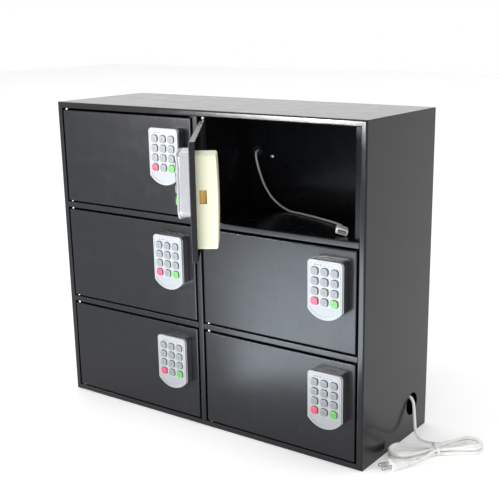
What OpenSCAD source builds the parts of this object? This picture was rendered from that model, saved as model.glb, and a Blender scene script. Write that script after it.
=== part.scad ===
// Countertop phone charging locker: a folded steel cabinet with six hinged doors, each with a
// keypad lock, a wiring bay behind the compartments, a USB charger, a USB lead and a mains lead.
// +X is to the right, +Y is to the back, +Z is up. The origin is the middle of the base, at its
// underside. Doors 1 to 3 run down the left column and doors 4 to 6 down the right column.

/* [Cabinet] */
// Overall width of the cabinet
case_w = 600; // [560:1:680]
// Overall depth of the cabinet
case_d = 215; // [210:1:250]
// Overall height of the cabinet
case_h = 520; // [510:1:600]
// Thickness of the steel sheet
sheet = 1.2; // [1:0.1:1.5]
// Width of the frame strips between the doors
strip = 10; // [9:0.5:12]
// Depth from the front to the panel behind the compartments
bay_depth = 138; // [130:1:140]
// Width of the folded stop that a door shuts against
stop_w = 12; // [8:1:14]
// Radius of the round hole for the mains lead in the right side
cord_hole_r = 18.5; // [12:0.5:20]

/* [Doors] */
// Gap at a door's hinge edge
gap_hinge = 3.5; // [3.2:0.1:5]
// Gap at a door's free edge
gap_free = 3; // [1.5:0.1:5]
// Gap above a door
gap_top = 3; // [2:0.1:5]
// Gap below a door
gap_bottom = 2; // [1.5:0.1:4]
// Depth of a door's folded edges
pan_depth = 8; // [7:0.1:8.5]
// Distance of a hinge pin's axis from the door's edge and from its face
pin_inset = 5; // [4:0.1:5]
// Radius of a hinge pin
pin_r = 1.5; // [1:0.1:2]
// Number of the door that stands open
open_door = 4; // [4, 5, 6]
// Angle at which that door stands open
open_angle = 54; // [0:1:110]

/* [Locks] */
// Width of a lock's front housing
lock_w = 59; // [52:0.5:64]
// Height of a lock's front housing
lock_h = 89; // [84:0.5:100]
// Depth of the metal part of the front housing
housing_depth = 14; // [10:0.5:20]
// Thickness of the white keypad face
face_depth = 3; // [2:0.1:5]
// Height of the rounded chin of the housing
chin = 14.5; // [10:0.5:20]
// Distance of the housing from the door's free edge
lock_edge = 13; // [8:0.5:20]
// Distance of the housing from the door's top edge
lock_top = 16; // [8:0.5:20]
// Width of a key cap
key_w = 12.4; // [9:0.1:13]
// Height of a key cap
key_h = 11.4; // [9:0.1:12]
// How far a key cap stands out of the keypad face
key_rise = 2.4; // [1.5:0.1:4]
// Width of the lock case inside the door
inner_w = 44; // [40:1:60]
// Height of the lock case inside the door
inner_h = 122; // [110:1:130]
// Depth of the lock case, measured from the door's outer face
inner_depth = 35.5; // [30:0.5:40]
// Travel of a lock bolt
bolt_travel = 10; // [6:0.5:11]

/* [Electrics] */
// Length of the USB charger
charger_l = 100; // [80:1:140]
// Depth of the USB charger
charger_d = 34; // [24:1:36]
// Height of the USB charger
charger_h = 70; // [68:1:90]
// Diameter of the mains lead
lead_d = 5; // [4:0.1:7]
// Diameter of the USB cable
usb_d = 3.5; // [3:0.1:5]
// Length of the hank of mains lead
hank_l = 158; // [120:1:170]
// Width of the hank
hank_w = 44; // [36:1:50]
// Height of the hank
hank_h = 18; // [12:1:25]

/* [Hidden] */
$fn = 48;
fit = 0.05;                        // radial clearance of a pin in its running hole
eps = 1;                           // how far a cutter runs past the face it cuts
door_count = 6;
columns = 2;
rows = 3;
front = -case_d / 2;               // y of the front face
bay_w = (case_w - (columns + 1) * strip) / columns;
bay_h = (case_h - (rows + 1) * strip) / rows;
door_w = bay_w - gap_hinge - gap_free;
door_h = bay_h - gap_top - gap_bottom;
stop_y = pan_depth + 1.5;          // depth of the door stops behind the front
return_d = stop_y + sheet;         // depth of the folds round the doors
rear_flange_w = 16;
rear_flange_y = case_d - 2 * sheet;
wall_x = case_w / 2 - sheet;       // inner face of a side wall

cord_hole_at = [161, 52.5];        // depth behind the front, and height
grommet_at = [14, 93];             // from a compartment's lower left corner
clip_screw_at = [43, 86];
grommet_hole_r = 7;
grommet_bore_r = 3;
anchor_r = 3.5;
anchor_x = 240;
anchor_y = [50, 115];              // depths of the base's anchor holes behind the front

pin_collar_r = 2.6;
pin_reach = 4;                     // how far a pin reaches into a door
pin_head = 1.2;
pin_hole_r = pin_r + fit;

screw_r = 2;
screw_hole_r = 2.1;
screw_head_r = 3.8;
screw_head_h = 2.2;
screw_length = 8;
cover_margin = 8;                  // from the cabinet's edge to a cover screw
cover_gap = 0.3;
vent_w = 40;
vent_h = 4;
vent_pitch = 10;
vent_count = 12;

lock_x = door_w - lock_edge - lock_w / 2;   // centre of the housing on its door
lock_z = door_h - lock_top - lock_h;        // lowest point of the housing
chin_r = (pow(lock_w / 2, 2) + pow(chin, 2)) / (2 * chin);
corner_r = 6;
housing_wall = 2.5;
key_pitch = [16.7, 15];
key_top = 16.5;                    // from the top of the housing to the first row of keys
key_corner = 4;
key_gap = 0.3;
key_travel = 1;
mat_t = 1.2;
mat_gap = 0.1;
dish_t = 0.5;
stem_r = 8;
stem_gap = 0.5;
stem_depth = 6;
face_y = -housing_depth - face_depth;

inner_edge = 12;                   // from the door's free edge to the inner lock case
inner_z = 15;
inner_wall = 2;
crown = 1.8;                       // how far the inner case bulges at mid height
inner_x = door_w - inner_edge - inner_w;
bolt_t = 8.5;
bolt_h = 17;
bolt_l = 32;
bolt_y = stop_y + sheet + 1.2;
bolt_z = 83.5;
bolt_recess = 1;
window_gap = 0.3;
cell_r = 5.25;
cell_l = 44.5;
cell_pitch = 12;
motor_r = 6;
motor_l = 28;
board = [34, 1.6, 60];

charger_x = 150;
charger_y = bay_depth + 2 * sheet + 0.6;
charger_z = 30;
lead_z = 62;
lead_y = charger_y + charger_d / 2;
relief_l = 28;
relief_r = [5.5, 3.6];
port_count = 6;
port_pitch = 11;
port_z = 7.5;
port_size = [12, 13.1, 5.8];
tongue_t = 1.9;
bracket_t = 1.2;
bracket_lip = 12;
used_port = 2;
plug_body = [24, 15.4, 7.6];
plug_shell = [10, 12, 4.6];

socket_at = [250.5, 19.5, 356.9];     // middle of the socket's face: x, depth behind the front, z
socket_heading = 30;
socket_roll = 17;
socket_size = [18, 30, 8.6];
socket_corner = 2;

hank_at = [364, 118.5];             // middle of the hank: x, depth behind the front
hank_heading = 46.5;
hank_lift = 1.2;                   // height of the hank's underside, which the tie passes under
tie_l = 8;
tie_t = 1.2;
mains_plug_at = [340, 42.5];
mains_plug_heading = 232;
mains_plug_size = [28, 22, 14];    // length, width, height
blade = [17, 1.5, 6.35];
blade_pitch = 12.7;

// Routes: x, depth behind the front, z
lead_route = [[278, 158, 62], [290, 158, 64], [299, 157, 65], [306, 154, 58], [310, 150, 44], [313, 147, 30],
    [316, 144, 18], [322, 142, 8], [331, 141, 3.7], [343, 142, 3], [354, 144, 3.5], [366, 148, 6]];
tail_route = [[363.5, 88.5, 6], [358, 79, 4], [354, 69.5, 4], [351.5, 61, 5.5], [348.6, 53.5, 7]];
usb_route = [[126, 158, 59.5], [112, 158, 58], [90, 159, 57], [66, 160, 62], [45, 162, 78], [30, 164, 104],
    [22, 166, 140], [19, 167, 190], [19, 167, 290], [19, 167, 385], [19, 165, 418], [19, 158, 436],
    [19, 148, 443], [19, 138, 443], [20, 131.5, 440.5], [22, 129.5, 430], [28, 129.5, 410],
    [38, 129.5, 388], [52, 129, 370], [71, 127, 358], [93, 122, 352], [119, 115, 352], [158, 102, 352],
    [200, 84, 352.2], [218, 70, 353.5], [228.5, 57, 355.5], [235.5, 45.5, 356.9]];
lead_sides = 10;
usb_sides = 8;
route_steps = 2;

KINDS = ["door_panel", "lock_housing", "keypad_face", "keypad_keys", "lock_case", "lock_bolt", "lock_internals"];
SHARED = ["case_wrap", "centre_divider", "door_stops", "shelves", "inner_back_panel", "rear_cover", "panel_screws",
    "hinge_pins", "cable_grommets", "usb_charger", "charger_bracket", "usb_plug", "usb_cable",
    "usb_socket", "mains_lead", "cord_hank", "cord_tie", "mains_plug"];

// ---------- where things are ----------

function column(n) = n <= rows ? 0 : 1;
function row(n) = (n - 1) % rows;
function bay_x(n) = strip - case_w / 2 + column(n) * (bay_w + strip);
function bay_z(n) = case_h - strip - bay_h - row(n) * (bay_h + strip);
function pin_x(n) = bay_x(n) + gap_hinge + pin_inset;
function swing(n) = n == open_door ? open_angle : 0;

// Puts children drawn on a door, with its outer lower left corner at the origin, in place
module on_door(n) {
    translate([pin_x(n), front + pin_inset, bay_z(n) + gap_bottom])
        rotate([0, 0, -swing(n)])
            translate([-pin_inset, -pin_inset, 0])
                children();
}

// Draws an outline standing on the XZ plane, from depth y0 back to depth y1
module upright(y0, y1) {
    translate([0, y1, 0])
        rotate([90, 0, 0])
            linear_extrude(y1 - y0)
                children();
}

// A round bar along +Y
module bar_y(r, y0, y1) {
    translate([0, y0, 0])
        rotate([-90, 0, 0])
            cylinder(r = r, h = y1 - y0);
}

// A block between two corners
module block(low, high) {
    translate(low)
        cube(high - low);
}

// A rectangle with round corners, centred on the origin
module round_rect(w, h, r) {
    square([w - 2 * r, h], center = true);
    square([w, h - 2 * r], center = true);
    for (x = [-1, 1], y = [-1, 1])
        translate([x * (w / 2 - r), y * (h / 2 - r)])
            circle(r = r);
}

// A tube that follows a list of points
function spline(a, b, c, d, t) = 0.5 * ((2 * b) + (c - a) * t + (2 * a - 5 * b + 4 * c - d) * t * t
    + (3 * b - a - 3 * c + d) * t * t * t);
function at(p, i) = p[max(0, min(len(p) - 1, i))];
function smooth_path(p) = concat([for (i = [0 : len(p) - 2], k = [0 : route_steps - 1])
    spline(at(p, i - 1), p[i], p[i + 1], at(p, i + 2), k / route_steps)], [p[len(p) - 1]]);
function unit(v) = v / norm(v);
function heading(p, i) = unit(at(p, i + 1) - at(p, i - 1));
function side(t, last) = unit(last - (last * t) * t);
function sides_along(p, i = 0, last = [0.1, 0.2, 1]) = i >= len(p) ? []
    : let (s = side(heading(p, i), last)) concat([s], sides_along(p, i + 1, s));

module tube(route, r, count) {
    path = smooth_path([for (p = route) [p[0], p[1] + front, p[2]]]);
    across = sides_along(path);
    rings = len(path);
    points = [for (i = [0 : rings - 1], k = [0 : count - 1])
        let (a = 360 * k / count, u = across[i], v = cross(heading(path, i), u))
            path[i] + r * (cos(a) * u + sin(a) * v)];
    walls = [for (i = [0 : rings - 2], k = [0 : count - 1])
        let (a = i * count, b = (k + 1) % count)
            [a + k, a + count + k, a + count + b, a + b]];
    first = [for (k = [0 : count - 1]) k];
    last = [for (k = [count - 1 : -1 : 0]) (rings - 1) * count + k];
    polyhedron(points, concat(walls, [first, last]), convexity = 8);
}

// ---------- cabinet ----------

// A rectangular ring standing round the front, inset from the case's edges
module front_ring(inset, width, y0, y1) {
    difference() {
        block([inset - case_w / 2, y0, inset], [case_w / 2 - inset, y1, case_h - inset]);
        block([inset + width - case_w / 2, y0 - eps, inset + width],
            [case_w / 2 - inset - width, y1 + eps, case_h - inset - width]);
    }
}

// A flat strip for each door to shut against, welded to the fold beside the door's free edge
module door_stops() {
    color("#24272b")
        for (edge_x = [-strip / 2, case_w / 2 - strip], n = [1 : rows])
            block([edge_x - stop_w, front + stop_y, bay_z(n)], [edge_x, front + return_d, bay_z(n) + bay_h]);
}

module pin_holes(z0, z1) {
    for (n = [1, rows + 1])
        translate([pin_x(n), front + pin_inset, z0])
            cylinder(r = pin_hole_r, h = z1 - z0);
}

// The places of the rear cover's screws: x, z
function cover_points() = concat(
    [for (x = [-1, -0.33, 0.33, 1], z = [cover_margin, case_h - cover_margin]) [x * (case_w / 2 - cover_margin), z]],
    [for (x = [-1, 1]) [x * (case_w / 2 - cover_margin), case_h / 2]]);

module cover_holes() {
    for (p = cover_points())
        translate([p[0], 0, p[1]])
            bar_y(screw_hole_r, front + rear_flange_y - eps, front + case_d + eps);
}

module case_wrap() {
    color("#24272b")
        difference() {
            union() {
                front_ring(0, sheet, front, front + case_d);
                front_ring(0, strip, front, front + sheet);
                front_ring(strip - sheet, sheet, front, front + return_d);
                front_ring(0, rear_flange_w, front + rear_flange_y, front + rear_flange_y + sheet);
            }
            pin_holes(strip - sheet - eps, strip + eps);
            pin_holes(case_h - strip - eps, case_h - strip + sheet + eps);
            translate([wall_x - eps, front + cord_hole_at[0], cord_hole_at[1]])
                rotate([0, 90, 0])
                    cylinder(r = cord_hole_r, h = sheet + 2 * eps);
            for (x = [-anchor_x, anchor_x], y = anchor_y)
                translate([x, front + y, -eps])
                    cylinder(r = anchor_r, h = sheet + 2 * eps);
            cover_holes();
        }
}

module centre_divider() {
    color("#24272b") {
        difference() {
            block([-strip / 2, front, strip], [strip / 2, front + return_d, case_h - strip]);
            block([sheet - strip / 2, front + sheet, strip - eps], [strip / 2 - sheet, front + stop_y, case_h]);
        }
        block([-sheet / 2, front + stop_y, sheet], [sheet / 2, front + bay_depth, strip]);
        block([-sheet / 2, front + return_d, sheet], [sheet / 2, front + bay_depth, case_h - sheet]);
    }
}

// A shelf under the compartment of door n, with its folded front edge
module shelf(n) {
    x0 = bay_x(n);
    x1 = x0 + bay_w;
    z0 = bay_z(n) - strip;
    inner = column(n) == 0 ? [-wall_x, -sheet / 2] : [sheet / 2, wall_x];
    difference() {
        union() {
            block([x0, front, z0], [x1, front + sheet, z0 + strip]);
            block([x0, front, z0], [x1, front + stop_y, z0 + sheet]);
            block([x0, front, z0 + strip - sheet], [x1, front + return_d, z0 + strip]);
            block([inner[0], front + return_d, z0 + strip - sheet], [inner[1], front + bay_depth, z0 + strip]);
            block([inner[0], front + bay_depth - sheet, z0], [inner[1], front + bay_depth, z0 + strip]);
        }
        pin_holes(z0 - eps, z0 + strip + eps);
    }
}

module shelves() {
    color("#24272b")
        for (n = [1 : door_count])
            if (row(n) < rows - 1)
                shelf(n);
}

module inner_back_panel() {
    color("#1c1e21")
        difference() {
            block([-wall_x, front + bay_depth, sheet], [wall_x, front + bay_depth + sheet, case_h - sheet]);
            for (n = [1 : door_count]) {
                translate([bay_x(n) + grommet_at[0], 0, bay_z(n) + grommet_at[1]])
                    bar_y(grommet_hole_r, front + bay_depth - eps, front + bay_depth + sheet + eps);
                translate([bay_x(n) + clip_screw_at[0], 0, bay_z(n) + clip_screw_at[1]])
                    bar_y(screw_hole_r, front + bay_depth - eps, front + bay_depth + sheet + eps);
            }
        }
}

module rear_cover() {
    edge = wall_x - cover_gap;
    y0 = front + rear_flange_y + sheet;
    color("#24272b")
        difference() {
            block([-edge, y0, sheet + cover_gap], [edge, y0 + sheet, case_h - sheet - cover_gap]);
            cover_holes();
            for (x = [-case_w / 4, case_w / 4], k = [0 : vent_count - 1])
                block([x - vent_w / 2, y0 - eps, case_h / 2 + (k - vent_count / 2) * vent_pitch],
                    [x + vent_w / 2, y0 + sheet + eps, case_h / 2 + (k - vent_count / 2) * vent_pitch + vent_h]);
        }
}

// A pan head screw with its head at y = 0 and its shank towards +Y
module screw() {
    bar_y(screw_head_r, -screw_head_h, 0);
    bar_y(screw_r, -screw_head_h / 2, screw_length);
}

module panel_screws() {
    color("silver") {
        for (p = cover_points())
            translate([p[0], front + case_d, p[1]])
                rotate([0, 0, 180])
                    screw();
        for (n = [1 : door_count])
            translate([bay_x(n) + clip_screw_at[0], front + bay_depth, bay_z(n) + clip_screw_at[1]])
                screw();
    }
}

module hinge_pin(collar) {
    cylinder(r = pin_r, h = pin_reach + collar + sheet);
    translate([0, 0, sheet])
        cylinder(r = pin_collar_r, h = collar - fit);
    translate([0, 0, -pin_head])
        cylinder(r = pin_collar_r, h = pin_head);
}

module hinge_pins() {
    color("silver")
        for (n = [1 : door_count])
            translate([pin_x(n), front + pin_inset, bay_z(n)]) {
                translate([0, 0, -sheet])
                    hinge_pin(gap_bottom);
                translate([0, 0, bay_h + sheet])
                    mirror([0, 0, 1])
                        hinge_pin(gap_top);
            }
}

module cable_grommets() {
    lip = 1.5;
    lip_r = grommet_hole_r + lip;
    color("#15161a")
        for (n = [1 : door_count])
            translate([bay_x(n) + grommet_at[0], front + bay_depth, bay_z(n) + grommet_at[1]])
                difference() {
                    union() {
                        bar_y(lip_r, -lip, 0);
                        bar_y(grommet_hole_r - fit, -lip, sheet + lip);
                        bar_y(lip_r, sheet, sheet + lip);
                    }
                    bar_y(grommet_bore_r, -lip - eps, sheet + lip + eps);
                }
}

// ---------- electrics ----------

module usb_charger() {
    color("#2b2d30")
        translate([charger_x, front + charger_y, charger_z]) {
            difference() {
                cube([charger_l, charger_d, charger_h]);
                for (k = [0 : port_count - 1])
                    translate([-eps, (charger_d - port_size[1]) / 2, port_z + k * port_pitch - port_size[2] / 2])
                        cube(port_size + [eps, 0, 0]);
            }
            translate([charger_l, charger_d / 2, lead_z - charger_z])
                rotate([0, 90, 0])
                    cylinder(r1 = relief_r[0], r2 = relief_r[1], h = relief_l);
        }
}

module charger_bracket() {
    y0 = front + bay_depth + sheet;
    y1 = front + charger_y + charger_d + bracket_t;
    color("#3a3d41") {
        block([charger_x, y0, charger_z - bracket_t], [charger_x + charger_l, y0 + bracket_t, charger_z + charger_h]);
        block([charger_x, y0, charger_z - bracket_t], [charger_x + charger_l, y1, charger_z]);
        block([charger_x, y1 - bracket_t, charger_z - bracket_t], [charger_x + charger_l, y1, charger_z + bracket_lip]);
    }
}

module usb_plug() {
    z = charger_z + port_z + used_port * port_pitch;
    color("#d9d9d6")
        translate([charger_x, front + lead_y, z]) {
            translate([-plug_body[0], -plug_body[1] / 2, -plug_body[2] / 2])
                cube(plug_body);
            translate([-eps, -plug_shell[1] / 2, -plug_shell[2] / 2])
                cube(plug_shell + [eps, 0, 0]);
        }
}

module usb_cable() {
    color("#d9d9d6")
        tube(usb_route, usb_d / 2, usb_sides);
}

module usb_socket() {
    color("#e6e6e2")
        translate([socket_at[0], front + socket_at[1], socket_at[2]])
            rotate([0, 0, socket_heading])
                rotate([0, socket_roll, 0]) {
                    difference() {
                        upright(0, socket_size[1])
                            round_rect(socket_size[0], socket_size[2], socket_corner);
                        upright(-eps, port_size[0])
                            square([port_size[1], port_size[2]], center = true);
                    }
                    upright(eps, port_size[0] + eps)
                        translate([0, -tongue_t / 2])
                            square([port_size[1] - 2, tongue_t], center = true);
                }
}

// The two stretches of mains lead outside the hank
module mains_lead() {
    color("#f0f0ec")
        for (route = [lead_route, tail_route])
            tube(route, lead_d / 2, lead_sides);
}

module on_hank() {
    translate([hank_at[0], front + hank_at[1], 0])
        rotate([0, 0, hank_heading])
            children();
}

module cord_hank() {
    color("#f0f0ec")
        on_hank()
            translate([0, 0, hank_lift])
                linear_extrude(hank_h)
                    round_rect(hank_l, hank_w, hank_w / 2 - 1);
}

module cord_tie() {
    w = hank_w + 2 * tie_t;
    color("#fafafa")
        on_hank()
            difference() {
                block([-tie_l / 2, -w / 2, 0], [tie_l / 2, w / 2, hank_lift + hank_h + tie_t]);
                block([-tie_l, -hank_w / 2, hank_lift], [tie_l, hank_w / 2, hank_lift + hank_h]);
            }
}

module mains_plug() {
    color("#f4f4f0")
        translate([mains_plug_at[0], front + mains_plug_at[1], mains_plug_size[2] / 2])
            rotate([0, 0, mains_plug_heading]) {
                rotate([0, 90, 0])
                    linear_extrude(mains_plug_size[0], center = true)
                        round_rect(mains_plug_size[2], mains_plug_size[1], 3);
                for (y = [-blade_pitch / 2, blade_pitch / 2])
                    translate([mains_plug_size[0] / 2 - eps, y - blade[1] / 2, -blade[2] / 2])
                        cube(blade + [eps, 0, 0]);
            }
}

// ---------- one door and its lock ----------

module door_panel(n) {
    color("#2a2d31")
        on_door(n)
            difference() {
                cube([door_w, pan_depth, door_h]);
                block([sheet, sheet, sheet], [door_w - sheet, pan_depth + eps, door_h - sheet]);
                translate([pin_inset, pin_inset, -eps])
                    cylinder(r = pin_hole_r, h = door_h + 2 * eps);
                translate([lock_x, 0, lock_z + lock_h / 2])
                    bar_y(stem_r + stem_gap, -eps, sheet + eps);
            }
}

// Front outline of the lock: round top corners and a chin that is an arc
module lock_outline(inset) {
    w = lock_w - 2 * inset;
    r = corner_r - min(inset, corner_r - 1);
    top = lock_h - inset;
    intersection() {
        translate([0, chin_r])
            circle(r = chin_r - inset, $fn = 96);
        translate([-w / 2, 0])
            square([w, chin_r]);
    }
    translate([-w / 2, chin_r])
        square([w, top - r - chin_r]);
    translate([r - w / 2, chin_r])
        square([w - 2 * r, top - chin_r]);
    for (x = [r - w / 2, w / 2 - r])
        translate([x, top - r])
            circle(r = r);
}

// Puts each key's outline in place
module each_key() {
    for (column = [-1 : 1], k = [0 : 3])
        translate([column * key_pitch[0], lock_h - key_top - k * key_pitch[1]])
            children();
}

module on_lock(n) {
    on_door(n)
        translate([lock_x, 0, lock_z])
            children();
}

module lock_housing(n) {
    color("#b9bcc0")
        on_lock(n) {
            difference() {
                upright(-housing_depth, 0)
                    lock_outline(0);
                upright(-housing_depth - eps, -housing_wall)
                    lock_outline(housing_wall);
            }
            translate([0, 0, lock_h / 2])
                bar_y(stem_r, -housing_wall / 2, stem_depth);
        }
}

module keypad_face(n) {
    color("#eceef0")
        on_lock(n)
            difference() {
                upright(face_y, -housing_depth)
                    lock_outline(0);
                upright(face_y - eps, eps)
                    each_key()
                        round_rect(key_w + 2 * key_gap, key_h + 2 * key_gap, key_corner + key_gap);
                upright(face_y - eps, face_y + dish_t)
                    intersection() {
                        lock_outline(3);
                        translate([-lock_w / 2, 0])
                            square([lock_w, lock_h - key_top - 3 * key_pitch[1] - key_h]);
                    }
            }
}

module keypad_keys(n) {
    mat_y = -housing_depth + mat_gap;
    mat_w = 2 * key_pitch[0] + key_w + 2;
    mat_h = 3 * key_pitch[1] + key_h + 2;
    color("#c9cccf")
        on_lock(n) {
            upright(mat_y, mat_y + mat_t)
                translate([0, lock_h - key_top - 1.5 * key_pitch[1]])
                    square([mat_w, mat_h], center = true);
            upright(face_y - key_rise, mat_y + mat_t / 2)
                each_key()
                    round_rect(key_w, key_h, key_corner);
        }
}

// Side profile of the inner lock case, with its crowned back: depth, height
function case_profile(wall) = concat([[sheet, wall], [sheet, inner_h - wall]],
    [for (k = [8 : -1 : 0]) let (t = k / 8)
        [inner_depth - wall - crown * pow(2 * t - 1, 2), wall + t * (inner_h - 2 * wall)]]);

module case_block(wall) {
    translate([inner_x + wall, 0, inner_z])
        rotate([90, 0, 90])
            linear_extrude(inner_w - 2 * wall)
                polygon(case_profile(wall));
}

module lock_case(n) {
    color("#efe9cc")
        on_door(n)
            difference() {
                case_block(0);
                translate([0, -eps / 10, 0])
                    case_block(inner_wall);
                block([inner_x + inner_w - inner_wall - eps, bolt_y - window_gap, bolt_z - bolt_h / 2 - window_gap],
                    [inner_x + inner_w + eps, bolt_y + bolt_t + window_gap, bolt_z + bolt_h / 2 + window_gap]);
            }
}

module lock_bolt(n) {
    tip = inner_x + inner_w - bolt_recess;
    color("#c08a3a")
        on_door(n)
            block([tip - bolt_l, bolt_y, bolt_z - bolt_h / 2], [tip, bolt_y + bolt_t, bolt_z + bolt_h / 2]);
}

module lock_internals(n) {
    color("#4a7a52")
        on_door(n)
            translate([inner_x, 0, inner_z]) {
                for (x = [0, 1], y = [0, 1])
                    translate([9 + x * cell_pitch, 9 + y * cell_pitch, 3])
                        cylinder(r = cell_r, h = cell_l);
                translate([inner_w / 2, 15, inner_h - motor_l - 3])
                    cylinder(r = motor_r, h = motor_l);
                translate([(inner_w - board[0]) / 2, 26, inner_h - board[2] - 4])
                    cube(board);
            }
}

case_wrap();
centre_divider();
door_stops();
shelves();
inner_back_panel();
rear_cover();
panel_screws();
hinge_pins();
cable_grommets();
usb_charger();
charger_bracket();
usb_plug();
usb_cable();
usb_socket();
mains_lead();
cord_hank();
cord_tie();
mains_plug();
for (n = [1 : door_count]) {
    door_panel(n);
    lock_housing(n);
    keypad_face(n);
    keypad_keys(n);
    lock_case(n);
    lock_bolt(n);
    lock_internals(n);
}
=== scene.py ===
"""Looks of the phone charging locker: folded steel cabinet, keypad locks, cables and studio."""

import math
import random

import bmesh
import bpy
from mathutils import Matrix, Vector


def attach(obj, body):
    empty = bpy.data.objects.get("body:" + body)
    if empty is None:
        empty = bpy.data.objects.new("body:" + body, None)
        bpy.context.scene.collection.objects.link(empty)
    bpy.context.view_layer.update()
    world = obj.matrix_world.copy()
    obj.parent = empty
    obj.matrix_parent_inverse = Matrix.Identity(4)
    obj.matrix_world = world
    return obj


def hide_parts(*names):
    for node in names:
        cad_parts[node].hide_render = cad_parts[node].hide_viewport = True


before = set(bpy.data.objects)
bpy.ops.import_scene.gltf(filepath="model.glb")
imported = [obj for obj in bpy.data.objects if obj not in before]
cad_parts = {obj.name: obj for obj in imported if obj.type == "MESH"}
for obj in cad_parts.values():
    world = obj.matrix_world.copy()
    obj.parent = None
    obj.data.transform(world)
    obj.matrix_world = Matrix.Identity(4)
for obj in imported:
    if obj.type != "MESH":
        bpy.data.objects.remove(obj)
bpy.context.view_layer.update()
MM = 0.001

# ---------- sizes repeated from the CAD source, in millimetres ----------

CASE_W, CASE_D, CASE_H = 600, 215, 520
FRONT = -CASE_D / 2
SHEET, STRIP = 1.2, 10
BAY_W, BAY_H, BAY_DEPTH = 285, 160, 138
STOP_Y, RETURN_D, STOP_W = 9.5, 10.7, 12
WALL_X = CASE_W / 2 - SHEET
DOORS, ROWS, OPEN_DOOR, OPEN_ANGLE = 6, 3, 4, 54
DOOR_W, DOOR_H, PAN_DEPTH = 278.5, 155, 8
GAP_HINGE, GAP_TOP, GAP_BOTTOM, PIN_INSET = 3.5, 3, 2, 5
LOCK_W, LOCK_H, CHIN, CORNER_R = 59, 89, 14.5, 6
KEY_TOP_Y = -19.4
LOCK_EDGE, LOCK_TOP, INNER_EDGE = 13, 16, 12
LOCK_X, LOCK_Z = DOOR_W - LOCK_EDGE - LOCK_W / 2, DOOR_H - LOCK_TOP - LOCK_H
KEY_W, KEY_H, KEY_PITCH_X, KEY_PITCH_Z, KEY_TOP = 12.4, 11.4, 16.7, 15, 16.5
INNER_W, INNER_H, INNER_D, INNER_Z, CROWN = 44, 122, 35.5, 15, 1.8
INNER_X = DOOR_W - INNER_EDGE - INNER_W
BOLT_Y, BOLT_T, BOLT_H, BOLT_L, BOLT_Z = 11.9, 8.5, 17, 32, 83.5
GROMMET_X, GROMMET_Z, GROMMET_R, SCREW_X, SCREW_Z, SCREW_HOLE_R = 14, 93, 7, 43, 86, 2.1
CORD_HOLE_DEPTH, CORD_HOLE_Z, CORD_HOLE_R = 161, 52.5, 18.5
ANCHOR_X, ANCHOR_DEPTHS, ANCHOR_R = 240, (50, 115), 3.5
COVER_EDGE, VENTS, VENT_W, VENT_H, VENT_PITCH = 8, 12, 40, 4, 10
CHARGER_X, CHARGER_L, CHARGER_D, CHARGER_H, CHARGER_Z = 150, 100, 34, 70, 30
PORTS, USED_PORT, PORT_PITCH, PORT_EDGE = 6, 2, 11, 7.5
CHARGER_Y = FRONT + BAY_DEPTH + 2 * SHEET + 0.6
LEAD_Y = CHARGER_Y + CHARGER_D / 2
LEAD_R, USB_R, LEAD_START_Z = 2.5, 1.75, 62
SOCKET_AT, SOCKET_HEADING, SOCKET_ROLL = (250.5, FRONT + 19.5, 356.9), 30, 17
HANK_AT, HANK_HEADING = (364, FRONT + 118.5), 46.5
PLUG_AT, PLUG_HEADING = (340, FRONT + 42.5, 7), 232
PLUG_L, BLADE_Y, BLADE_L, BLADE_HALF_W, BLADE_HALF_T = 28, 6.35, 17, 3.17, 0.75
# Routes: x, depth behind the front, z
LEAD_ROUTE = [(278, 158, LEAD_START_Z), (290, 158, 64), (299, 157, 65), (306, 154, 58), (310, 150, 44),
              (313, 147, 30), (316, 144, 18), (322, 142, 8), (331, 141, 3.7), (343, 142, 3), (354, 144, 3.5)]
TAIL_ROUTE = [(358, 79, 4), (354, 69.5, 4), (351.5, 61, 5.5), (348.6, 53.5, 7)]
USB_ROUTE = [(126, 158, 59.5), (112, 158, 58), (90, 159, 57), (66, 160, 62), (45, 162, 78), (30, 164, 104),
             (22, 166, 140), (19, 167, 190), (19, 167, 290), (19, 167, 385), (19, 165, 418), (19, 158, 436),
             (19, 148, 443), (19, 138, 443), (20, 131.5, 440.5), (22, 129.5, 430), (28, 129.5, 410),
             (38, 129.5, 388), (52, 129, 370), (71, 127, 358), (93, 122, 352), (119, 115, 352),
             (158, 102, 352), (200, 84, 352.2), (218, 70, 353.5), (228.5, 57, 355.5), (235.5, 45.5, 356.9)]


def bay(n):
    """Lower left front corner of a compartment: x, z."""
    column, row = (n - 1) // ROWS, (n - 1) % ROWS
    return STRIP - CASE_W / 2 + column * (BAY_W + STRIP), CASE_H - STRIP - BAY_H - row * (BAY_H + STRIP)


def moved(x, y, z):
    return Matrix.Translation((x, y, z))


def turned(degrees, axis):
    return Matrix.Rotation(math.radians(degrees), 4, axis)


def door_place(n):
    """Puts what is drawn on a door, in millimetres from its outer lower left corner, in place."""
    x, z = bay(n)
    swing = -OPEN_ANGLE if n == OPEN_DOOR else 0
    pin = moved(x + GAP_HINGE + PIN_INSET, FRONT + PIN_INSET, z + GAP_BOTTOM)
    return pin @ turned(swing, "Z") @ moved(-PIN_INSET, -PIN_INSET, 0)


# ---------- materials ----------

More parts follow.
